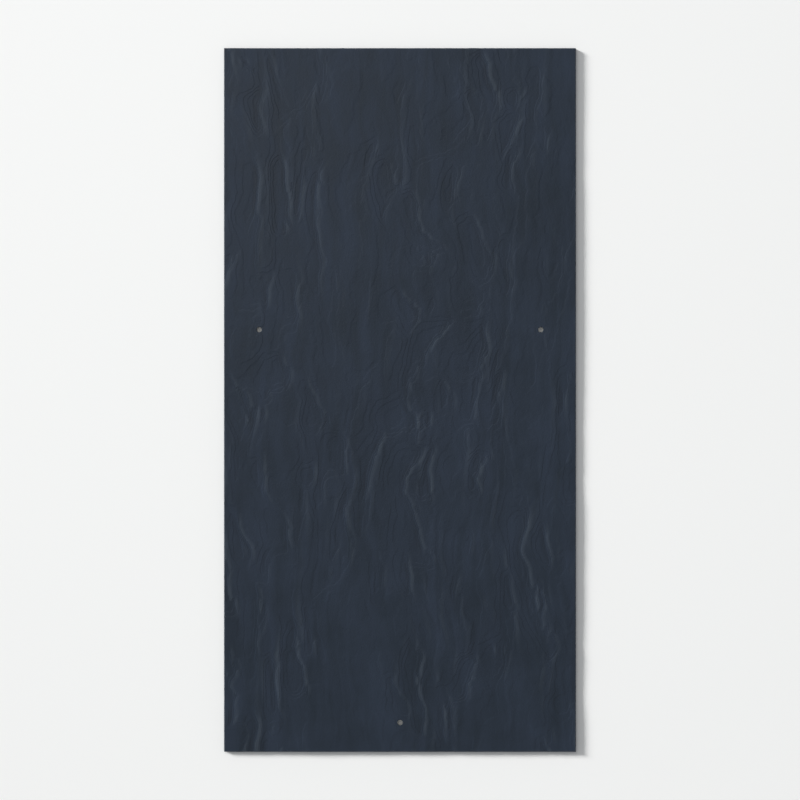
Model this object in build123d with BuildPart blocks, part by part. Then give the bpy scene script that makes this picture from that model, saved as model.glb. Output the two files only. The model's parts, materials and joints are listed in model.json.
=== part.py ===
from build123d import *
from math import atan, degrees
import os

# A fibre cement roofing slate for double lapped slating, one flat pressed
# sheet with three punched holes. It lies on its bed with the weather face up.
# The origin is the middle of the bed. X runs across the slate, Y runs up the
# slope from the tail to the head, and Z points out of the weather face.
# All sizes are in millimetres.

# The sheet
slate_length = 600
slate_width = 300
slate_thickness = 4
arris_width = 0.8  # the pressed fall at the rim of the weather face, measured across it
arris_fall = 0.5  # and measured down the cut edge

# The laying. Each course hides all but one gauge of the slates below it.
head_lap = 100
gauge = (slate_length - head_lap) / 2

# The two nail holes lie side by side, just above the head of the course below
nail_hole_diameter = 4.5
nail_side_distance = 30
nail_head_clearance = 10
nail_line = gauge + head_lap + nail_head_clearance  # up from the tail

# The rivet hole lies on the joint between the two slates below
rivet_hole_diameter = 4.5
rivet_tail_distance = 25

# The punch enters at the weather face and breaks a shallow cone out of the bed
breakout_spread = 1.8  # past the wall of the hole
breakout_depth = 1.0

tail = -slate_length / 2
nail_x = slate_width / 2 - nail_side_distance
nail_y = tail + nail_line
rivet_y = tail + rivet_tail_distance

# The bed seen from below, with its own Y still running up the slope
bed = Plane(origin=(0, 0, 0), x_dir=(-1, 0, 0), z_dir=(0, 0, -1))


def punched_hole(diameter):
    """One hole at each current location on the bed, with its breakout."""
    CounterSinkHole(
        radius=diameter / 2,
        counter_sink_radius=diameter / 2 + breakout_spread,
        counter_sink_angle=2 * degrees(atan(breakout_spread / breakout_depth)),
    )


with BuildPart() as slate:
    with BuildSketch():
        Rectangle(slate_width, slate_length)
    extrude(amount=slate_thickness)

    weather_face = slate.faces().sort_by(Axis.Z)[-1]
    chamfer(
        weather_face.edges(),
        length=arris_width,
        length2=arris_fall,
        reference=weather_face,
    )

    with Locations(bed):
        with Locations((-nail_x, nail_y), (nail_x, nail_y)):
            punched_hole(nail_hole_diameter)
        with Locations((0, rivet_y)):
            punched_hole(rivet_hole_diameter)

slate.part.label = "slate"

os.makedirs("parts", exist_ok=True)
export_step(slate.part, "parts/slate.step")
print("slate volume in litres", round(slate.part.volume / 1e6, 4))
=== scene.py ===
# %% [markdown]
# # A riven fibre cement slate
#
# This lesson dresses one roofing slate, 600 mm long, 300 mm wide and 4 mm thick.
# The real one starts as a wet sheet of cement, water and fine fibres. The sheet is
# pressed against a plate cast from split rock, so one face takes on the low steps
# that rock shows where it has been cloven. Then it is cut to size, punched with
# three holes, cured, and coated on its face and edges with a dark acrylic paint.
#
# We build it in much the same order: the pressed face, the holes, the cut edges, the
# flat bed, and last the coating. All the shaping is done in millimetres, because that
# is how the trade measures it, and turned into metres at the end.

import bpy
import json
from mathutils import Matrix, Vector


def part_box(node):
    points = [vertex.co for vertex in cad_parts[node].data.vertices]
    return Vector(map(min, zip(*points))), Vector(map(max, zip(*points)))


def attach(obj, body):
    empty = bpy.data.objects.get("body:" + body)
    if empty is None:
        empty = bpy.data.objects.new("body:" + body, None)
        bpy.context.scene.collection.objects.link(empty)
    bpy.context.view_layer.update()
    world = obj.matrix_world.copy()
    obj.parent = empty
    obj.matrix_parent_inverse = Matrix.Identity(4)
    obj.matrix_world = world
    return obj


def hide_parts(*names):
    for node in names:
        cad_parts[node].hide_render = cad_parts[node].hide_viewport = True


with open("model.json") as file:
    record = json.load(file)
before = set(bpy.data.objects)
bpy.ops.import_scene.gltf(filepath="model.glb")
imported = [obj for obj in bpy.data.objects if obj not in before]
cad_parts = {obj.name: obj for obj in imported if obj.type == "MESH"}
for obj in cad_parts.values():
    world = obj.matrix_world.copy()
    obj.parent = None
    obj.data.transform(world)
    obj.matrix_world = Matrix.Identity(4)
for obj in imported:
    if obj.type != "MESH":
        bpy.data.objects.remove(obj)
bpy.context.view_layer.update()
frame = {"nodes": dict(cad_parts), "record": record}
print("frame holds", sorted(frame["nodes"]))

# %% Sizes from the frame
import json
import math

import bmesh
import bpy
import numpy as np
from mathutils import Vector
from mathutils.geometry import delaunay_2d_cdt

MM = 0.001  # one millimetre in metres

low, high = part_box("slate")
half_width = (high.x - low.x) / 2 / MM
half_length = (high.y - low.y) / 2 / MM
thickness = (high.z - low.z) / MM
bores = [mount for mount in frame["record"]["mounts"] if mount["kind"] == "bore"]
holes = [
    (bore["pos_m"][0] / MM, bore["pos_m"][1] / MM, bore["dims"]["r_mm"])
    for bore in bores
]
print("half width", half_width, "half length", half_length, "thickness", thickness)
print("holes at", holes)

# %% [markdown]
# ## The camera
#
# A slate is a flat thing that is meant to be seen square on, so the camera looks
# straight down, with the tail of the slate at the bottom of the picture. A long lens
# stands well back, and so it looks nearly straight down at the rim too. An
# orthographic camera would do that fully, but it shows nothing of the walls of the
# holes, which a lens still catches a little of.

# %% Camera
PICTURE_SHARE = 0.88  # of the picture's height that the slate fills
LENS = 85  # mm
SENSOR = 36  # mm

camera_data = bpy.data.cameras.new("camera")
camera_data.lens = LENS
camera_data.sensor_width = SENSOR
camera = bpy.data.objects.new("camera", camera_data)
bpy.context.scene.collection.objects.link(camera)

camera_height = 2 * half_length * MM / PICTURE_SHARE * LENS / SENSOR
camera.location = (0, 0, thickness * MM + camera_height)
bpy.context.scene.camera = camera
bpy.context.scene.view_settings.view_transform = "Standard"
print("camera stands", round(camera_height, 3), "m above the slate")

# %% [markdown]
# ## Three small helpers
#
# Colours are written as sRGB hex codes, which is how a colour card gives them.
# Blender's shaders want linear light, so one function turns the one into the other.
#
# Node trees are easier to read as a recipe than as a diagram. The second function
# adds one node, fills in its settings and links its sockets, whatever kind it is. The
# third starts a material with an empty tree.

# %% Helpers for materials
def colour(hex_code):
    """The linear RGBA of an sRGB hex code such as #303640."""
    parts = [int(hex_code[i : i + 2], 16) / 255 for i in (1, 3, 5)]
    linear = [p / 12.92 if p <= 0.04045 else ((p + 0.055) / 1.055) ** 2.4 for p in parts]
    return (*linear, 1.0)


def add_node(tree, kind, sockets=None, **settings):
    """Adds a node. A socket's value is a number, a colour, or a node or output to link from."""
    node = tree.nodes.new("ShaderNode" + kind)
    for name, value in settings.items():
        setattr(node, name, value)
    for name, value in (sockets or {}).items():
        usable = [socket for socket in node.inputs if socket.enabled]
        if isinstance(name, int):
            target = usable[name]
        else:
            target = next(socket for socket in usable if socket.name == name)
        if isinstance(value, bpy.types.Node):
            value = next(output for output in value.outputs if output.enabled)
        if isinstance(value, bpy.types.NodeSocket):
            tree.links.new(value, target)
        else:
            target.default_value = value
    return node


def new_material(name):
    """An empty material and its node tree."""
    material = bpy.data.materials.new(name)
    material.use_nodes = True
    material.node_tree.nodes.clear()
    return material, material.node_tree


print("white is", colour("#FFFFFF"))

# %% [markdown]
# ## Light
#
# Relief this low only shows when light rakes across it. One distant lamp stands low
# at the upper left, so that each step catches it like the edge of a page. It could
# be an area lamp, but a sun lamp lights the floor evenly as far as one can see. Its
# glare is switched off, as a photographer takes it off coated samples with a
# polarising sheet, or the whole face would flash from one side.
#
# A soft box on the same side gives the sheen back gently. It stands near enough to
# be brighter at the upper left corner than at the lower right. The sky is pale at
# the horizon, like a studio wall, and dimmer overhead, and it fills the shadows.
#
# A sheet that faces up gets light from all three. Their shares add up to one, and so
# a colour comes out about as it is written.

# %% Lamps
RAKING_SHARE = 0.56
RAKING_FROM = (154, 19)  # degrees round from +X, and up from the floor
RAKING_BLUR = 15  # degrees across, so that its shadows are soft
RAKING_DISTANCE = 3.0  # metres, which makes no difference to a sun lamp

SOFT_BOX_SHARE = 0.11
SOFT_BOX_FROM = (130, 58)
SOFT_BOX_DISTANCE = 1.3  # metres
SOFT_BOX_SIZE = 0.9  # metres


def way_to(bearing, elevation):
    """The unit vector to a place, by its angles in degrees from +X and from the floor."""
    turn, rise = math.radians(bearing), math.radians(elevation)
    flat = math.cos(rise)
    return Vector((flat * math.cos(turn), flat * math.sin(turn), math.sin(rise)))


def add_lamp(data, way, distance):
    """Puts a lamp at a distance from the middle of the slate and points it there."""
    lamp = bpy.data.objects.new(data.name, data)
    lamp.location = way * distance
    lamp.rotation_euler = way.to_track_quat("Z", "Y").to_euler()
    bpy.context.scene.collection.objects.link(lamp)
    return lamp


raking_way = way_to(*RAKING_FROM)
raking = bpy.data.lights.new("raking_lamp", "SUN")
raking.energy = RAKING_SHARE * math.pi / raking_way.z
raking.angle = math.radians(RAKING_BLUR)
add_lamp(raking, raking_way, RAKING_DISTANCE).visible_glossy = False

box_way = way_to(*SOFT_BOX_FROM)
soft_box = bpy.data.lights.new("soft_box", "AREA")
soft_box.shape = "SQUARE"
soft_box.size = SOFT_BOX_SIZE
soft_box.energy = SOFT_BOX_SHARE * math.pi**2 * SOFT_BOX_DISTANCE**2 / box_way.z
add_lamp(soft_box, box_way, SOFT_BOX_DISTANCE)
print("raking lamp", round(raking.energy, 2), "W/m2, soft box", round(soft_box.energy, 2), "W")

# %% Sky
HORIZON_WHITE = "#E9EBEA"
OVERHEAD_GREY = "#999B9E"
WHITE_UP_TO = 0.05  # the sine of an angle above the horizon
GREY_FROM = 0.36

world = bpy.data.worlds.new("studio")
world.use_nodes = True
sky = world.node_tree
sky.nodes.clear()
gaze = add_node(sky, "TexCoord")
height = add_node(sky, "SeparateXYZ", {"Vector": gaze.outputs["Generated"]})
rise = add_node(
    sky,
    "MapRange",
    {"Value": height.outputs["Z"], "From Min": WHITE_UP_TO, "From Max": GREY_FROM},
    interpolation_type="SMOOTHSTEP",
)
tone = add_node(
    sky,
    "Mix",
    {"Factor": rise, "A": colour(HORIZON_WHITE), "B": colour(OVERHEAD_GREY)},
    data_type="RGBA",
)
backdrop = add_node(sky, "Background", {"Color": tone, "Strength": 1.0})
add_node(sky, "OutputWorld", {"Surface": backdrop})
bpy.context.scene.world = world
print("overhead share", round(colour(OVERHEAD_GREY)[0], 2))

# %% [markdown]
# ## The floor
#
# The floor is matt and pale, and lit it comes out in the white of the horizon, so
# that the two run into each other. It lies at the height of the slate's bed and
# takes its shadow.

# %% Floor
FLOOR_WHITE = "#F3F3F1"
FLOOR_REACH = 30.0  # metres each way, far enough to meet the horizon

floor_mesh = bpy.data.meshes.new("floor")
floor_mesh.from_pydata(
    [(x * FLOOR_REACH, y * FLOOR_REACH, low.z) for x, y in ((-1, -1), (1, -1), (1, 1), (-1, 1))],
    [],
    [(0, 1, 2, 3)],
)
floor = bpy.data.objects.new("floor", floor_mesh)
bpy.context.scene.collection.objects.link(floor)

floor_paint, tree = new_material("matt_white_floor_paint")
matt = add_node(tree, "BsdfDiffuse", {"Color": colour(FLOOR_WHITE)})
add_node(tree, "OutputMaterial", {"Surface": matt})
floor.data.materials.append(floor_paint)
print("floor is", 2 * FLOOR_REACH, "m across")

# %% [markdown]
# ## Smooth noise
#
# Cloven rock is uneven in a smooth way, at many sizes at once. Noise does that. It
# could come from mathutils one point at a time, but an array of 80,000 points is
# quicker in numpy, so here is the classic gradient noise in a few lines. Each
# corner of a grid gets a random slope, and each point blends the four slopes near it.

# %% Noise
GRID = 256  # the noise repeats after this many bumps, too far on for the eye to find
FULL_SWING = 1.4  # brings the blended slopes to about -1 to 1


def noise(x, y, seed):
    """Smooth bumps about one unit across, from about -1 to 1."""
    turns = np.random.default_rng(seed).uniform(0, math.tau, (GRID, GRID))
    lean_x, lean_y = np.cos(turns), np.sin(turns)
    column, row = np.floor(x).astype(int), np.floor(y).astype(int)
    right, up = x - column, y - row

    def corner(i, j):
        where = (column + i) % GRID, (row + j) % GRID
        return lean_x[where] * (right - i) + lean_y[where] * (up - j)

    def ease(t):
        return t * t * t * (t * (6 * t - 15) + 10)

    across, along = ease(right), ease(up)
    lower = corner(0, 0) * (1 - across) + corner(1, 0) * across
    upper = corner(0, 1) * (1 - across) + corner(1, 1) * across
    return FULL_SWING * (lower + (upper - lower) * along)


def bumps(x, y, wide, long, seed):
    """Noise with bumps of a given width and length in millimetres."""
    return noise(x / wide, y / long, seed)


def ramp(value, start, end):
    """0 before start, 1 after end, and an easy slope between."""
    t = np.clip((value - start) / (end - start), 0, 1)
    return t * t * (3 - 2 * t)


print("noise at one point", noise(np.array([0.5]), np.array([0.5]), 1))

# %% [markdown]
# ## The cleft grain
#
# Slate splits along its grain, which runs up the slope on a laid slate. The splits
# wander from side to side and meet in soft cusps. Bending the grid does this: every
# pattern is drawn not at x but at x pushed aside by slow waves, a quicker ripple,
# and the fold in a noise whose sign is dropped, which gives the cusps. Each term is
# a push in millimetres, times bumps of so many millimetres across and along.

# %% Grain
def grain(x, y):
    """Where a point lies across the grain, in millimetres."""
    waves = 11 * bumps(x, y, 95, 200, seed=1) + 6 * bumps(x, y, 38, 88, seed=2)
    cusps = 8 * np.abs(bumps(x, y, 42, 70, seed=3)) + 2 * np.abs(bumps(x, y, 15, 24, seed=8))
    ripple = 1.3 * bumps(x, y, 12, 30, seed=4) + 0.4 * bumps(x, y, 4, 10, seed=5)
    return x + waves + cusps + ripple


slanting = np.linspace(-half_width, half_width, 6)  # a few points on a slanting line
print("along it x is pushed aside by", (grain(slanting, slanting) - slanting).round(1), "mm")

# %% [markdown]
# ## Steps in the face
#
# Where a thin layer of rock came away it leaves a step. From the left the face falls
# away gently, and then a short steep riser brings it back up, so in raking light each
# step is a soft dark band that ends in a bright line. A sculptor would carve them.
# Here they are a saw tooth: count across the grain, and let the depth follow the
# fraction. Each step has its own noise along its length, so that it rises out of
# the face and dies away again after a few centimetres. Some are bold, others faint.
#
# How crowded the count is gets measured too, from three points close together, so
# that a riser is as wide in millimetres where the grain is tight as where it is open.
# Its width is a noise of its own: crisp and narrow here, a soft broad facet there.

# %% Steps
SAMPLE = 0.2  # mm between the points that measure a slope
LEAST_CROWDING = 0.012  # steps to a millimetre, or a riser could grow without end
FAINTEST = 0.45  # of the depth of a bold step
NARROWEST = 0.75  # of the family's width of riser
WIDENING = 1.7  # times that width, added where a facet is broadest
FACET_LENGTH = 34  # mm over which the width changes


def steps(places, y, depth, riser, curl, length, seed):
    """How far one family of steps lies below the face, from its count at three points."""
    place, place_right, place_above = places
    number = np.floor(place)
    share = place - number
    crowding = np.hypot(place_right - place, place_above - place) / SAMPLE
    past_riser = share / np.maximum(crowding, LEAST_CROWDING)

    # the odd factors on a step's number give each step a place of its own in the noise
    def strength(which):
        boldness = ramp(noise(which * 2.63 + 0.5, y * 0 + seed, 19), -0.2, 0.35)
        there = ramp(noise(which * 7.31 + 0.5, y / length + which * 3.7, seed), -0.1, 0.4)
        return (FAINTEST + (1 - FAINTEST) * boldness) * there

    broadening = ramp(noise(number * 3.3, y / FACET_LENGTH, seed + 50), -0.25, 0.7)
    width = riser * (NARROWEST + WIDENING * broadening)
    falling = strength(number + 1) * share**curl
    rising = strength(number) * (1 - np.clip(past_riser / width, 0, 1))
    return depth * np.maximum(falling, rising)


print("a slope is measured over", SAMPLE, "mm")

# %% [markdown]
# Two families of bold steps cross at slightly different angles. Where they meet, the
# deeper one wins, as it does in rock, and that gives the forks in the shape of a Y.
# A third family, fine and shallow, is laid over both and runs straight with the grain.

# %% Three counts
def broad_count(x, y, across):
    """Counts a step about every 27 mm, leaning by 5 mm in 100."""
    return (across + 0.05 * y) / 27 + 0.8 * bumps(across, y, 52, 120, seed=6)


def slanted_count(x, y, across):
    """Counts a step about every 38 mm, leaning the other way by 14 mm in 100."""
    leaning = across - 0.14 * y + 5 * bumps(x, y, 25, 45, seed=7)
    return leaning / 38 + bumps(across, y, 80, 130, seed=9)


def fine_count(x, y, across):
    """Counts a step about every 12 mm, straight with the grain."""
    wavering = across + 2 * bumps(x, y, 14, 30, seed=12)
    return wavering / 12 + 0.8 * bumps(across, y, 26, 60, seed=11)


print("steps to a slate's width", [round(2 * half_width / spacing) for spacing in (27, 38, 12)])

# %% [markdown]
# Some areas of a split face are busy and others nearly calm, which is one more slow
# noise, and a gentle roll ties it all together. The pressing plate stands proud by
# so much and no more, so the deepest hollows are held to that. The shallowest parts
# are levelled a little, because the press flattens them, and they touch the frame's
# own plane.

# %% Relief
def hollows(x, y):
    """How far the pressed face lies below its own highest parts, in millimetres."""
    spots = ((x, y), (x + SAMPLE, y), (x, y + SAMPLE))
    threads = [(*spot, grain(*spot)) for spot in spots]

    def family(count, **shape):
        return steps([count(*thread) for thread in threads], y, **shape)

    broad = family(broad_count, depth=1.1, riser=6.6, curl=2.6, length=60, seed=14)
    slanted = family(slanted_count, depth=1.05, riser=6.6, curl=2.6, length=48, seed=15)
    fine = family(fine_count, depth=0.14, riser=3.4, curl=1.6, length=36, seed=16)
    across = threads[0][2]
    roll = 0.3 * bumps(across, y, 18, 85, seed=17) + 0.05 * bumps(across, y, 7, 40, seed=18)

    # 0 where the face is calm and 1 where it is busy, and a share of each stays in the calm
    busy = ramp(bumps(x, y, 80, 115, seed=13), -0.45, 0.3)
    deep = np.maximum(broad, slanted) * (0.2 + 0.8 * busy)
    return deep + fine * (0.25 + 0.75 * busy) + roll * (0.45 + 0.55 * busy)


DEEPEST = 0.6  # mm, the most that the pressing plate stands proud
KNEE = 4  # how sharply a deep hollow is turned to that depth
LEVELLED = 0.3  # percent of the face

sample_x, sample_y = np.meshgrid(
    np.arange(-half_width, half_width, 1.0), np.arange(-half_length, half_length, 2.0)
)
sample = hollows(sample_x, sample_y)
shallowest = np.percentile(sample, LEVELLED)
print("relief spans", round(sample.max() - shallowest, 2), "mm before it is held to", DEEPEST)


def pressed_face(x, y):
    """The height of the face above the bed, in millimetres, before edges and holes."""
    depth = np.maximum(hollows(x, y) - shallowest, 0)
    return thickness - depth / (1 + (depth / DEEPEST) ** KNEE) ** (1 / KNEE)


# %% [markdown]
# ## Arris and hole rims
#
# The press rounds the arris, the line where the face turns down into the edge, by
# under a millimetre. A slate is never quite even there, so its width wavers. The
# punch drags the rim of each hole down a little as it goes in, and leaves a faint
# dish around it. Both are falls that depend only on how far a point is from the
# line, which keeps the corners mitred without any extra work.

# %% Falls at the edges
ARRIS_WIDTH, ARRIS_FALL = 0.9, 0.45  # mm
RIM_WIDTH, RIM_FALL = 0.35, 0.2
DISH_WIDTH, DISH_DEPTH = 2.2, 0.07


def in_from_rim(x, y):
    """How far a point lies in from the nearest side."""
    return np.minimum(half_width - np.abs(x), half_length - np.abs(y))


def quarter_round(away, width):
    """1 at a line, and down to 0 at a width from it, along a quarter of an ellipse."""
    t = np.clip(1 - away / width, 0, 1)
    return 1 - np.sqrt(1 - t * t)


def arris(x, y):
    """How far the rounded arris lies below the face."""
    wavering = 0.35 * noise(x / 9 + 40, y / 9, 21)
    nicks = 0.15 * noise(x / 2.5, y / 2.5 + 9, 22)
    uneven = 1 + wavering + nicks
    return ARRIS_FALL * quarter_round(in_from_rim(x, y), ARRIS_WIDTH * uneven) * uneven


def rims(x, y):
    """How far the punched rims lie below the face."""
    fall = np.zeros_like(x)
    for hole_x, hole_y, radius in holes:
        away = np.maximum(np.hypot(x - hole_x, y - hole_y) - radius, 0)
        dish = np.exp(-((away / DISH_WIDTH) ** 2))
        fall += RIM_FALL * quarter_round(away, RIM_WIDTH) + DISH_DEPTH * dish
    return fall


def face_height(x, y):
    """The height of the finished face above the bed."""
    return pressed_face(x, y) - arris(x, y) - rims(x, y)


print("on the slanting line the face stands", face_height(slanting, slanting).round(2), "mm high")

# %% [markdown]
# ## One skin
#
# The slate is one solid thing, so its surface is one closed mesh. It is collected as
# lists of points and faces. A subdivided cube with a displacement would be quicker
# to set up, but it can't hold the holes, and it wastes its faces on the flat bed.

# %% Collecting points and faces
COATED_FACE, COATED_EDGE, BARE = 0, 1, 2  # the three finishes
INSIDE_LOOPS = 1  # the kind of filling that keeps only what its loops enclose
SAME_POINT = 1e-7  # mm, and anything nearer would be taken for one point

points = []
faces = []
finishes = []  # one for each face


def add_points(x, y, z):
    """Adds points and returns their numbers, in the same arrangement as x."""
    x, y, z = np.broadcast_arrays(x, y, z)
    first = len(points)
    points.extend(zip(x.ravel().tolist(), y.ravel().tolist(), z.ravel().tolist()))
    return first + np.arange(x.size).reshape(x.shape)


def add_faces(new, finish):
    """Adds faces, each a tuple of point numbers, anticlockwise seen from outside."""
    faces.extend(tuple(int(number) for number in face) for face in new)
    finishes.extend([finish] * len(new))


def add_band(first_ring, second_ring, finish):
    """Joins two anticlockwise rings of as many points with four-sided faces.

    With the lower ring first the faces look outwards, and with the upper one first inwards.
    """
    here, there = np.asarray(first_ring), np.asarray(second_ring)
    add_faces(np.stack([here, np.roll(here, -1), np.roll(there, -1), there], 1), finish)


def fill_between(outline, hole_rings, loose, finish, seen_from_below=False):
    """Fills an outline with triangles, leaving the holes open and using the loose points."""
    numbers = [int(n) for n in outline] + [int(n) for ring in hole_rings for n in ring]
    numbers += [int(n) for n in loose]
    flat = [Vector(points[number][:2]) for number in numbers]
    loops, start = [], 0
    for loop in (outline, *hole_rings):
        loops.append(list(range(start, start + len(loop))))
        start += len(loop)
    found = delaunay_2d_cdt(flat, [], loops, INSIDE_LOOPS, SAME_POINT)
    if len(found[0]) != len(flat):
        raise ValueError("two points of the filling fell together")
    new = []
    for triangle, lies_in in zip(found[2], found[5]):
        if set(lies_in) != {0}:  # it lies in a hole as well as in the outline
            continue
        a, b, c = (flat[i] for i in triangle)
        upwards = (b - a).cross(c - a) > 0
        order = triangle if upwards != seen_from_below else triangle[::-1]
        new.append([numbers[i] for i in order])
    add_faces(new, finish)
    return len(new)


print("collected so far", len(points), "points and", len(faces), "faces")

# %% [markdown]
# ## The weather face
#
# The face is a grid. Its steps run up the slope, so its cells are twice as long as
# they are wide. Near the rim a few lines lie closer, to carry the rounded arris.

# %% Grid of the face
CELL_ACROSS = 1.05  # mm, a little over a pixel of the picture
CELL_ALONG = 2.1
RIM_LINES = (0.0, 0.2, 0.55, 1.0, 1.7)  # mm in from the edge
HOLE_MARGIN = 3.0  # mm of face around each hole that is filled apart from the grid


def grid_lines(half, cell):
    """Lines across one side, even in the middle and closer over the arris."""
    rim = np.array(RIM_LINES)
    inner = half - rim[-1] - cell
    middle = np.linspace(-inner, inner, round(2 * inner / cell) + 1)
    return np.concatenate([rim - half, middle, half - rim[::-1]])


columns = grid_lines(half_width, CELL_ACROSS)
rows = grid_lines(half_length, CELL_ALONG)
grid_x, grid_y = np.meshgrid(columns, rows)
grid = add_points(grid_x, grid_y, face_height(grid_x, grid_y))

open_cells = np.ones((len(rows) - 1, len(columns) - 1), bool)
blocks = []  # the lines around each hole between which the grid is left out
for hole_x, hole_y, radius in holes:
    reach = radius + HOLE_MARGIN
    left, right = np.searchsorted(columns, [hole_x - reach, hole_x + reach])
    bottom, top = np.searchsorted(rows, [hole_y - reach, hole_y + reach])
    open_cells[bottom:top, left:right] = False
    blocks.append((bottom, top, left, right))

corners = np.stack([grid[:-1, :-1], grid[:-1, 1:], grid[1:, 1:], grid[1:, :-1]], -1)
add_faces(corners[open_cells], COATED_FACE)
print("the face has", len(columns), "by", len(rows), "lines and", len(faces), "cells")

# %% [markdown]
# ## The punched holes
#
# The punch comes in through the face. It leaves a clean wall for most of the way and
# then bursts the last millimetre out of the bed in a ragged cone. Each hole is a
# stack of rings from the rim down. Round the rim the grid is cut away in a small
# block, and triangles join the block to the ring.

# %% Rings
RING_POINTS = 32
COLLARS = (0.15, 0.35, 0.9, 1.7)  # mm outside the wall, for the rounded rim
WALL_SHARES = (0.25, 0.5, 0.75, 1.0)  # of the way down the clean wall
BURST_SHARES = (0.3, 0.65, 1.0)  # of the way out along the burst cone

turns = np.arange(RING_POINTS) * math.tau / RING_POINTS
circle_x, circle_y = np.cos(turns), np.sin(turns)


def add_ring(centre, distance, height=None):
    """Adds a ring of points round a hole, which lie on the face unless a height is given."""
    x = centre[0] + distance * circle_x
    y = centre[1] + distance * circle_y
    return add_points(x, y, face_height(x, y) if height is None else height)


rings_down = 1 + len(WALL_SHARES) + len(BURST_SHARES)
print("each hole has", RING_POINTS, "points around and", rings_down, "rings down")

# %% [markdown]
# Down the wall each ring wanders by up to a tenth of a millimetre or so. On the burst
# cone a ring is pulled in where the cement held, by a noise whose sign is dropped,
# and chips of uneven depth come out between.

# %% Holes
CLEAN_WALL_END = 1.0  # mm above the bed, where the burst starts
WALL_ROUGHNESS = 0.05  # mm
WALL_WAVER = 0.12  # mm up and down, at the end of the clean wall
BURST_SPREAD = 1.8  # mm that the burst cone opens past the wall
BURST_CURL = 0.8  # below 1 scoops it out a little deeper than a straight cone
HELD_BACK = 0.55  # of that spread, where the cement held best
CHIPPING = 0.3  # of a ring's height, either way

burst_rings = []
for (*centre, radius), (bottom, top, left, right) in zip(holes, blocks):
    seed = 30 + len(burst_rings)
    rim = add_ring(centre, radius)
    loose = np.concatenate([add_ring(centre, radius + collar) for collar in COLLARS])
    outline = np.concatenate(
        [grid[bottom, left:right], grid[bottom:top, right],
         grid[top, right:left:-1], grid[top:bottom:-1, left]]
    )
    fill_between(outline, [rim], loose, COATED_FACE)

    above = rim
    rim_height = np.array([points[number][2] for number in rim])
    for share in WALL_SHARES:
        rough = WALL_ROUGHNESS * (1 + noise(3 * circle_x + 9 * share, 3 * circle_y, seed))
        wall_height = rim_height + (CLEAN_WALL_END - rim_height) * share
        wavering = WALL_WAVER * share * noise(turns * 2, turns * 0, seed)
        below = add_ring(centre, radius + rough, wall_height + wavering)
        add_band(above, below, BARE)
        above = below
    for share in BURST_SHARES:
        held = np.abs(noise(2.5 * circle_x, 2.5 * circle_y, seed + 9))
        ragged = 1 - HELD_BACK * share * held
        chipped = 1 + CHIPPING * noise(4 * circle_x, 4 * circle_y + 5 * share, seed + 19)
        burst = radius + WALL_ROUGHNESS + (BURST_SPREAD - WALL_ROUGHNESS) * share * ragged
        below = add_ring(centre, burst, CLEAN_WALL_END * (1 - share) ** BURST_CURL * chipped)
        add_band(above, below, BARE)
        above = below
    burst_rings.append(above)
print("made", len(burst_rings), "holes")

# %% [markdown]
# ## The cut edges
#
# The green sheet is cut with a shear, which leaves an edge that is flat but not
# smooth: it shows the layers that the sheet was built up from, and fine pulls from
# the blade. Rings of points go down from the arris, each pushed in by a little
# noise and never out, so the slate keeps its size. Each level looks at the noise a
# little further on, which turns its bumps into thin layers.

# %% Edges
EDGE_LEVELS = (0.22, 0.45, 0.68, 0.88, 0.96, 1.0)  # share of the way down to the bed
CUT_ROUGHNESS = 0.09  # mm
LAYER_LENGTH = 7  # mm along the edge that one layer shows for
PULL_LENGTH = 1.7  # mm
BED_BREAK = 0.22  # mm that the lower corner is rubbed back

rim_ring = np.concatenate([grid[0, :-1], grid[:-1, -1], grid[-1, :0:-1], grid[:0:-1, 0]])
rim_x, rim_y, rim_z = np.array([points[number] for number in rim_ring]).T

above = rim_ring
for level, share in enumerate(EDGE_LEVELS):
    layers = noise(rim_x / LAYER_LENGTH + level * 3.1, rim_y / LAYER_LENGTH + level * 1.7, 51)
    pulls = noise(rim_x / PULL_LENGTH, rim_y / PULL_LENGTH + level * 0.4, 52)
    push = CUT_ROUGHNESS * np.clip(0.5 + 0.35 * layers + 0.3 * pulls, 0, 1)
    if share == 1.0:
        push = BED_BREAK * (1 + 0.5 * layers)
    below = add_points(
        rim_x * (1 - push / half_width), rim_y * (1 - push / half_length), rim_z * (1 - share)
    )
    add_band(below, above, COATED_EDGE)
    above = below
bed_ring = above
print("the edge has", len(rim_ring), "points around")

# %% [markdown]
# ## The bed
#
# The underside is flat, because it was pressed against felt on a steel plate. It
# needs dense points only where it meets the rim and the holes. A Delaunay filling
# takes care of that: it joins any set of points with well shaped triangles.

# %% Bed
BED_CELL = 9.0  # mm between the points inside the bed
BED_SCATTER = 0.3  # of a cell, by which each point is shifted at most
BED_MARGIN = 1.2  # mm inside the rim that stay clear of them
BED_UNEVEN = 0.05  # mm that it dips away from the batten here and there

bed_x, bed_y = np.meshgrid(
    np.arange(-half_width + BED_CELL / 2, half_width, BED_CELL),
    np.arange(-half_length + BED_CELL / 2, half_length, BED_CELL),
)
bed_x, bed_y = bed_x.ravel(), bed_y.ravel()
shifts = np.random.default_rng(61).uniform(-BED_SCATTER, BED_SCATTER, (2, bed_x.size)) * BED_CELL
bed_x, bed_y = bed_x + shifts[0], bed_y + shifts[1]
clear = in_from_rim(bed_x, bed_y) > BED_MARGIN
for hole_x, hole_y, radius in holes:
    clear &= np.hypot(bed_x - hole_x, bed_y - hole_y) > radius + 2 * BURST_SPREAD
bed_x, bed_y = bed_x[clear], bed_y[clear]
bed_z = BED_UNEVEN * np.clip(bumps(bed_x, bed_y, 60, 60, seed=62) + 0.3, 0, 1)
loose = add_points(bed_x, bed_y, bed_z)
count = fill_between(bed_ring, burst_rings, loose, BARE, seen_from_below=True)
print("the bed has", count, "triangles")

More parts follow.
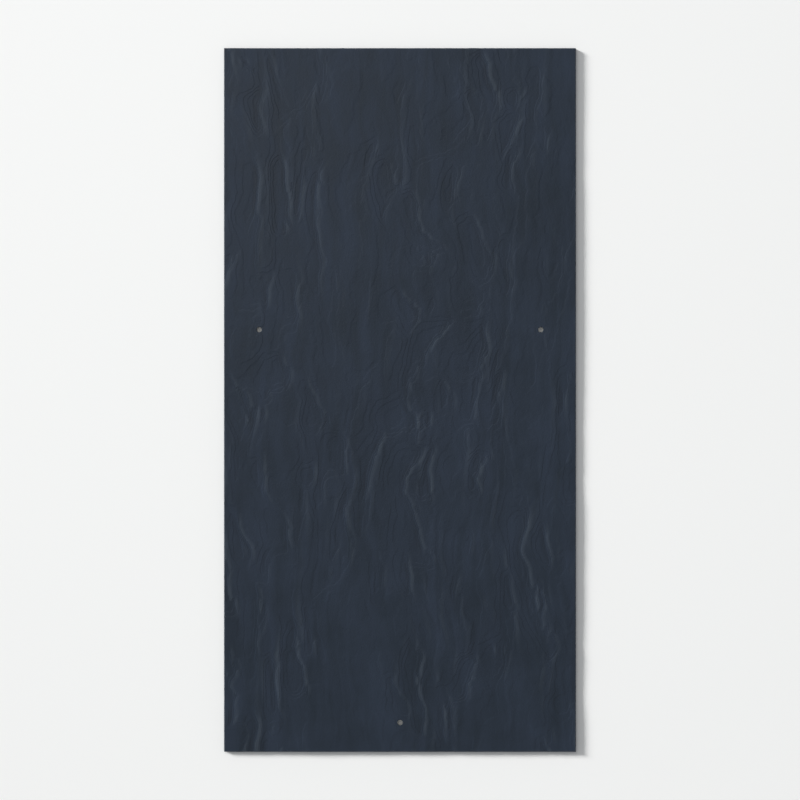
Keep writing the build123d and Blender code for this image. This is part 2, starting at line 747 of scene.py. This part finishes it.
# %% [markdown]
# ## From lists to a mesh
#
# Where the grid was cut away for the holes, it left points that no face uses. They
# would show up as stray points in an exported file, so only the used ones go into
# the mesh, and the faces are numbered again to match.

# %% Mesh
used, renumbered = np.unique([n for face in faces for n in face], return_inverse=True)
place = np.array(points)[used]
numbers = iter(renumbered.tolist())
faces = [tuple(next(numbers) for _ in face) for face in faces]

slate_mesh = bpy.data.meshes.new("riven_slate")
slate_mesh.from_pydata((place * MM).tolist(), [], faces)
slate_mesh.polygons.foreach_set("material_index", np.array(finishes, np.int32))
slate = bpy.data.objects.new("riven_slate", slate_mesh)
bpy.context.scene.collection.objects.link(slate)
print("the mesh has", len(place), "points, without", len(points) - len(place), "unused ones")

# %% [markdown]
# Besides its shape, the mesh carries two things that the coating will want to know
# at each point: where it lies across and along the grain and how high it stands, and
# whether it is on a crest or in a hollow. They are stored as attributes, which a
# shader can read by name. The arris counts as a crest, because the paint pulls thin
# there too.

# %% Attributes for the coating
CREST_REACH = 3.2  # mm to each side that a point is compared with
CREST_HEIGHT = 0.17  # mm above its sides that makes a full crest
ARRIS_CREST = 1.2  # how much of a crest the rim itself is
ARRIS_THINNING = 0.7  # mm from the rim over which that fades

x, y = place[:, 0], place[:, 1]
along_grain = np.stack([grain(x, y), y, place[:, 2]], 1)
grain_store = slate_mesh.attributes.new("grain", "FLOAT_VECTOR", "POINT")
grain_store.data.foreach_set("vector", along_grain.astype(np.float32).ravel())

neighbours = pressed_face(x - CREST_REACH, y) + pressed_face(x + CREST_REACH, y)
crest = (pressed_face(x, y) - neighbours / 2) / CREST_HEIGHT
crest += ARRIS_CREST * np.exp(-in_from_rim(x, y) / ARRIS_THINNING)
crest_store = slate_mesh.attributes.new("crest", "FLOAT", "POINT")
crest_store.data.foreach_set("value", crest.clip(-1, 1).astype(np.float32))
print("on a crest", round(100 * (crest > 0.5).mean()), "percent of the points")

# %% [markdown]
# Smooth shading suits the pressed face, but cement breaks with a crisp line. Edges
# that turn by more than 50 degrees are marked sharp, and so is the shallower line
# where each burst cone runs out into the bed. A skin like this should be closed, with
# every face looking out. Two faces that share an edge then run along it in opposite
# directions, and that is what the check counts.

# %% Sharp lines and a check
SHARP_TURN = 50  # degrees

slate_mesh.shade_smooth()
slate_mesh.set_sharp_from_angle(angle=math.radians(SHARP_TURN))
on_burst_ring = np.isin(used, np.concatenate(burst_rings))
for edge in slate_mesh.edges:
    if all(on_burst_ring[end] for end in edge.vertices):
        edge.use_edge_sharp = True

check = bmesh.new()
check.from_mesh(slate_mesh)
faulty = sum(not (edge.is_manifold and edge.is_contiguous) for edge in check.edges)
litres = check.calc_volume() * 1000
check.free()
triangles = sum(len(polygon.vertices) - 2 for polygon in slate_mesh.polygons)
print("triangles", triangles, "open or turned edges", faulty, "volume in litres", round(litres, 3))

# %% [markdown]
# ## The coating
#
# The coating is a water based acrylic paint, laid on in two thin curtains and dried
# warm. It is semi-matt: a dark blue grey with a soft sheen and no mirror in it. It is
# dark but not even. It mottles over a few centimetres and runs in faint streaks with
# the grain. On a crest it is lighter, partly because the paint pulls thin there so that
# the pale cement greys it, and partly as a painted highlight. In a hollow it is darker,
# partly from paint that gathers there and partly as painted shade. Two noises share
# the mottling and the streaks, and the mesh's own crest attribute says where the
# painted highlight and thin paint go and where the painted shade goes. Painting it on
# an image would do the same, but an image has to be unwrapped and stored.
#
# A noise texture seldom strays far from a half, so wherever one mixes two colours a
# range node first stretches that middle part out to a full 0 to 1.

# %% Coating colour
COAT_DARK = "#18222D"
COAT_LIGHT = "#232D3B"
# a pale grey that lightens each crest, partly thin paint over pale cement and partly painted
# highlight
COAT_THIN_AND_HIGHLIGHT = "#535D67"
# a deep blue black that darkens each hollow, partly gathered paint and partly painted shade
COAT_DEEP_AND_SHADE = "#111821"
MOST_THIN_AND_HIGHLIGHT = 0.2  # of the colour on the highest crest that is thin paint and painted highlight
MOST_DEEP_AND_SHADE = 0.4  # of the colour in the lowest hollow that is gathered paint and painted shade
MOTTLE = 46  # mm across
STREAK_WIDE, STREAK_LONG = 9, 110  # mm

coating, tree = new_material("semi_matt_acrylic_coat_on_pressed_cement")
spot = add_node(tree, "TexCoord")
flat_mm = add_node(
    tree, "VectorMath", {0: spot.outputs["Object"], "Scale": 1 / MM}, operation="SCALE"
)
along = add_node(tree, "Attribute", attribute_name="grain")
on_crest = add_node(tree, "Attribute", attribute_name="crest")

mottle = add_node(
    tree, "TexNoise", {"Vector": flat_mm, "Scale": 1 / MOTTLE, "Detail": 6.0, "Roughness": 0.62}
)
stretched = add_node(
    tree,
    "VectorMath",
    {0: along.outputs["Vector"], 1: (1 / STREAK_WIDE, 1 / STREAK_LONG, 1.0)},
    operation="MULTIPLY",
)
streak = add_node(tree, "TexNoise", {"Vector": stretched, "Scale": 1.0, "Detail": 4.0})
uneven = add_node(
    tree,
    "Mix",
    {"Factor": 0.5, "A": mottle.outputs["Fac"], "B": streak.outputs["Fac"]},
    data_type="FLOAT",
)
shade = add_node(tree, "MapRange", {"Value": uneven, "From Min": 0.36, "From Max": 0.64})
body = add_node(
    tree,
    "Mix",
    {"Factor": shade, "A": colour(COAT_DARK), "B": colour(COAT_LIGHT)},
    data_type="RGBA",
)
# painted highlight on the crests, together with the paint pulled thin there
thin_paint_and_highlight = add_node(
    tree,
    "MapRange",
    {"Value": on_crest.outputs["Fac"], "From Min": 0.1, "From Max": 1.0, "To Max": MOST_THIN_AND_HIGHLIGHT},
)
thinned_and_highlit = add_node(
    tree,
    "Mix",
    {"Factor": thin_paint_and_highlight, "A": body, "B": colour(COAT_THIN_AND_HIGHLIGHT)},
    data_type="RGBA",
)
# painted shade in the hollows, together with the paint gathered there
pooled_paint_and_shade = add_node(
    tree,
    "MapRange",
    {"Value": on_crest.outputs["Fac"], "From Min": -0.1, "From Max": -1.0, "To Max": MOST_DEEP_AND_SHADE},
)
paint = add_node(
    tree,
    "Mix",
    {"Factor": pooled_paint_and_shade, "A": thinned_and_highlit, "B": colour(COAT_DEEP_AND_SHADE)},
    data_type="RGBA",
)
print("colour uses", len(tree.nodes), "nodes")

# %% [markdown]
# ## What the fingers feel
#
# Three things are too fine for the mesh, so they go into the normal as bumps. The
# rock split along layers about a tenth of a millimetre thick, and their rims run
# round every slope like the lines on a map, so they follow the height that the mesh
# carries. Striations a few millimetres apart run with the grain. And the sand in the
# cement shows through the paint as a grit of about half a millimetre, which is drawn
# here at three times that, because the picture has no finer points.

# %% Coating relief
LAYER = 0.13  # mm
LAYER_RIM = 0.3  # of a layer's height that its rim takes up
WANDER = 9  # mm along which a rim wanders off the true height
STRIATION = 0.09  # mm deep
STRIATION_WIDE, STRIATION_LONG = 4, 50  # mm
GRIT_SIZE = 1.5  # mm from grain to grain
GRIT = 0.14  # mm deep
SMOOTHEST, DULLEST = 0.44, 0.56  # roughness of the paint

height_mm = add_node(tree, "SeparateXYZ", {"Vector": along.outputs["Vector"]})
wander = add_node(tree, "TexNoise", {"Vector": flat_mm, "Scale": 1 / WANDER, "Detail": 4.0})
layer_count = add_node(
    tree,
    "Math",
    {0: height_mm.outputs["Z"], 1: 1 / LAYER, 2: wander.outputs["Fac"]},
    operation="MULTIPLY_ADD",
)
fraction = add_node(tree, "Math", {0: layer_count}, operation="FRACT")
layer_rim = add_node(
    tree,
    "MapRange",
    {"Value": fraction, "From Min": 0.0, "From Max": LAYER_RIM},
    interpolation_type="SMOOTHSTEP",
)
terrace = add_node(tree, "Math", {0: layer_rim, 1: fraction}, operation="SUBTRACT")
layered = add_node(tree, "Bump", {"Height": terrace, "Distance": LAYER * MM, "Strength": 1.0})

fine_lines = add_node(
    tree,
    "VectorMath",
    {0: along.outputs["Vector"], 1: (1 / STRIATION_WIDE, 1 / STRIATION_LONG, 1.0)},
    operation="MULTIPLY",
)
striation = add_node(tree, "TexNoise", {"Vector": fine_lines, "Scale": 1.0, "Detail": 3.0})
lined = add_node(
    tree,
    "Bump",
    {
        "Height": striation.outputs["Fac"],
        "Distance": STRIATION * MM,
        "Strength": 1.0,
        "Normal": layered,
    },
)
grit = add_node(
    tree, "TexNoise", {"Vector": flat_mm, "Scale": 1 / GRIT_SIZE, "Detail": 4.0, "Roughness": 0.6}
)
gritty = add_node(
    tree,
    "Bump",
    {"Height": grit.outputs["Fac"], "Distance": GRIT * MM, "Strength": 1.0, "Normal": lined},
)

sheen = add_node(
    tree,
    "MapRange",
    {
        "Value": uneven,
        "From Min": 0.35,
        "From Max": 0.65,
        "To Min": SMOOTHEST,
        "To Max": DULLEST,
    },
)
surface = add_node(
    tree,
    "BsdfPrincipled",
    {"Base Color": paint, "Roughness": sheen, "IOR": 1.49, "Normal": gritty},
)
add_node(tree, "OutputMaterial", {"Surface": surface})
slate_mesh.materials.append(coating)
print("the coating has", len(tree.nodes), "nodes")

# %% [markdown]
# ## The coat on the cut edge
#
# The curtain of paint runs down the edges too. There it lies over sheared cement,
# which is built up from thin layers like a deck of cards, so the edge is rougher,
# duller and a shade greyer than the face. The layers are noise that is stretched
# along the edge and squeezed in height, a third of a millimetre to each.

# %% Cut edge
EDGE_DARK = "#1D222B"
EDGE_LIGHT = "#353C47"
EDGE_LAYER = 0.35  # mm thick
EDGE_LAYER_LENGTH = 7  # mm
EDGE_RELIEF = 0.15  # mm deep
EDGE_ROUGHNESS = 0.68

edge_coat, tree = new_material("acrylic_coat_on_sheared_cement")
spot = add_node(tree, "TexCoord")
lengths_a_metre = 1 / (EDGE_LAYER_LENGTH * MM)
layers_a_metre = 1 / (EDGE_LAYER * MM)
in_layers = add_node(
    tree,
    "VectorMath",
    {0: spot.outputs["Object"], 1: (lengths_a_metre, lengths_a_metre, layers_a_metre)},
    operation="MULTIPLY",
)
layer = add_node(tree, "TexNoise", {"Vector": in_layers, "Scale": 1.0, "Detail": 4.0})
layer_tone = add_node(
    tree, "MapRange", {"Value": layer.outputs["Fac"], "From Min": 0.35, "From Max": 0.7}
)
edge_body = add_node(
    tree,
    "Mix",
    {"Factor": layer_tone, "A": colour(EDGE_DARK), "B": colour(EDGE_LIGHT)},
    data_type="RGBA",
)
edge_relief = add_node(
    tree, "Bump", {"Height": layer.outputs["Fac"], "Distance": EDGE_RELIEF * MM, "Strength": 1.0}
)
surface = add_node(
    tree,
    "BsdfPrincipled",
    {"Base Color": edge_body, "Roughness": EDGE_ROUGHNESS, "IOR": 1.49, "Normal": edge_relief},
)
add_node(tree, "OutputMaterial", {"Surface": surface})
slate_mesh.materials.append(edge_coat)
print("the edge coat has", len(tree.nodes), "nodes")

# %% [markdown]
# ## Bare fibre cement
#
# Inside the holes and on the bed the cement is bare. Cured fibre cement is a warm
# mid grey, quite matt, and blotched where it dried unevenly. It holds short pale
# fibres that lie in every direction, a few millimetres long and far thinner than a
# hair. They are drawn a quarter of a millimetre thick so that they can be seen. Each
# is the crest of a noise stretched to that length, and three such noises are turned
# against each other. The texture kind of mapping turns before it stretches, and the
# point kind stretches first, which would leave all three lying the same way.

# %% Bare cement colour
CEMENT_DARK = "#70716D"
CEMENT_LIGHT = "#8A8A84"
FIBRE_PALE = "#A3A29A"
BLOTCH = 60  # mm across
FIBRE_LENGTH = 4.0  # mm
FIBRE_THICKNESS = 0.5  # mm between one stretched bump and the next, half of it fibre
FIBRE_TURNS = (12, 75, -41)  # degrees
FIBRE_SHOWS = 0.6  # of its own colour at its middle

cement, tree = new_material("bare_pressed_fibre_cement")
spot = add_node(tree, "TexCoord")
flat_mm = add_node(
    tree, "VectorMath", {0: spot.outputs["Object"], "Scale": 1 / MM}, operation="SCALE"
)
blotch = add_node(
    tree, "TexNoise", {"Vector": flat_mm, "Scale": 1 / BLOTCH, "Detail": 9.0, "Roughness": 0.68}
)
blotched = add_node(
    tree, "MapRange", {"Value": blotch.outputs["Fac"], "From Min": 0.32, "From Max": 0.68}
)
body = add_node(
    tree,
    "Mix",
    {"Factor": blotched, "A": colour(CEMENT_DARK), "B": colour(CEMENT_LIGHT)},
    data_type="RGBA",
)

fibres = 0.0
for turn in FIBRE_TURNS:
    laid = add_node(
        tree,
        "Mapping",
        {
            "Vector": flat_mm,
            "Rotation": (0, 0, math.radians(turn)),
            "Scale": (FIBRE_THICKNESS, FIBRE_LENGTH, 1.0),
        },
        vector_type="TEXTURE",
    )
    one_way = add_node(
        tree, "TexNoise", {"Vector": laid, "Scale": 1.0, "Detail": 1.0, "Distortion": 0.3}
    )
    fibres = add_node(tree, "Math", {0: fibres, 1: one_way.outputs["Fac"]}, operation="MAXIMUM")
fibre_share = add_node(
    tree, "MapRange", {"Value": fibres, "From Min": 0.68, "From Max": 0.76, "To Max": FIBRE_SHOWS}
)
fibred = add_node(
    tree,
    "Mix",
    {"Factor": fibre_share, "A": body, "B": colour(FIBRE_PALE)},
    data_type="RGBA",
)
print("colour uses", len(tree.nodes), "nodes")

# %% [markdown]
# Paint blows a little way under the sheet as it passes along the line. It fades out
# over about the first centimetre of the bed, in uneven tongues, so its amount comes
# from how far a point is from the nearest side, less a noise.

# %% Paint blown under
BLOWN_REACH = 14.0  # mm, about the end of the longest tongue
TONGUE = 8  # mm across
FADED_OUT, FULL = 4.0, -9.0  # mm in from a wavering line about 7 mm inside the rim
MOST_BLOWN = 0.92  # of the colour there that is paint, where the fade is full

from_middle = add_node(tree, "VectorMath", {0: flat_mm}, operation="ABSOLUTE")
inside = add_node(
    tree,
    "VectorMath",
    {0: (half_width, half_length, 0.0), 1: from_middle},
    operation="SUBTRACT",
)
sides = add_node(tree, "SeparateXYZ", {"Vector": inside})
nearest = add_node(
    tree, "Math", {0: sides.outputs["X"], 1: sides.outputs["Y"]}, operation="MINIMUM"
)
tongues = add_node(tree, "TexNoise", {"Vector": flat_mm, "Scale": 1 / TONGUE, "Detail": 5.0})
ragged = add_node(
    tree, "Math", {0: tongues.outputs["Fac"], 1: -BLOWN_REACH, 2: nearest}, operation="MULTIPLY_ADD"
)
blown = add_node(
    tree,
    "MapRange",
    {"Value": ragged, "From Min": FADED_OUT, "From Max": FULL, "To Max": MOST_BLOWN},
    interpolation_type="SMOOTHSTEP",
)
finish = add_node(
    tree,
    "Mix",
    {"Factor": blown, "A": fibred, "B": colour(COAT_LIGHT)},
    data_type="RGBA",
)
print("paint reaches up to", BLOWN_REACH, "mm under")

# %% [markdown]
# The bed was pressed against felt, which prints a faint weave into it, one and a half
# millimetres to the thread. Two sets of waves at right angles make it, and the
# fibres stand up from it by a few hundredths. At a scale of 1 a wave texture repeats
# 20 times in a full turn of tau, so the scale is worked out from that.

# %% Bare cement relief
WEAVE = 1.5  # mm to the thread
WEAVE_DEPTH = 0.05  # mm
SAND_SIZE, SAND_DEPTH = 0.9, 0.09  # mm
FIBRE_RISE = 0.03  # mm
DRY_CEMENT, BLOWN_PAINT = 0.92, 0.7  # roughness

threads = {"Vector": flat_mm, "Scale": math.tau / 20 / WEAVE, "Distortion": 1.5}
warp = add_node(tree, "TexWave", threads, bands_direction="X")
weft = add_node(tree, "TexWave", threads, bands_direction="Y")
weave = add_node(
    tree, "Math", {0: warp.outputs["Fac"], 1: weft.outputs["Fac"]}, operation="MULTIPLY"
)
woven = add_node(tree, "Bump", {"Height": weave, "Distance": WEAVE_DEPTH * MM, "Strength": 1.0})
sandy = add_node(tree, "TexNoise", {"Vector": flat_mm, "Scale": 1 / SAND_SIZE, "Detail": 3.0})
rough = add_node(
    tree,
    "Bump",
    {"Height": sandy.outputs["Fac"], "Distance": SAND_DEPTH * MM, "Strength": 1.0, "Normal": woven},
)
proud = add_node(
    tree,
    "Bump",
    {"Height": fibre_share, "Distance": FIBRE_RISE * MM, "Strength": 1.0, "Normal": rough},
)
dryness = add_node(
    tree, "MapRange", {"Value": blown, "To Min": DRY_CEMENT, "To Max": BLOWN_PAINT}
)
surface = add_node(
    tree,
    "BsdfPrincipled",
    {"Base Color": finish, "Roughness": dryness, "IOR": 1.5, "Normal": proud},
)
add_node(tree, "OutputMaterial", {"Surface": surface})
slate_mesh.materials.append(cement)
print("the bare cement has", len(tree.nodes), "nodes")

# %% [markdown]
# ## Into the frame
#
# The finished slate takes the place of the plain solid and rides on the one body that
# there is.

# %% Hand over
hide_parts("slate")
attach(slate, "root")
